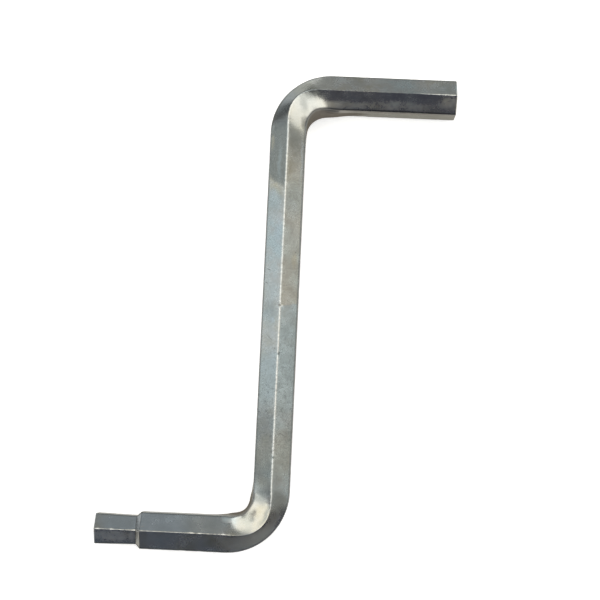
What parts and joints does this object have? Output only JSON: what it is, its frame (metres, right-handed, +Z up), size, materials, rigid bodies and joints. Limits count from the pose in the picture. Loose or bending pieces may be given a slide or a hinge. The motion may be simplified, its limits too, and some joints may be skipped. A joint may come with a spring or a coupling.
{
  "type": "z-shaped hex key",
  "caption": "Z-shaped hexagon key of bent steel bar: a plain arm and a stepped arm with a smaller hexagon tip point opposite ways from a long shank, to turn socket plugs.",
  "frame": {"origin": "under the middle of the outline, on the surface that the key lies on", "axes": "+Y along the shank from the stepped arm to the plain arm, +X the way the plain arm points, +Z up, across the level plane of the Z"},
  "size_m": [0.1134, 0.1608, 0.0137],
  "materials": {
    "zinc_plated_steel": "bright zinc plating, satin, dulled and scuffed by use"
  },
  "bodies": {
    "root": {"hex_bar": "zinc_plated_steel"}
  },
  "joints": []
}
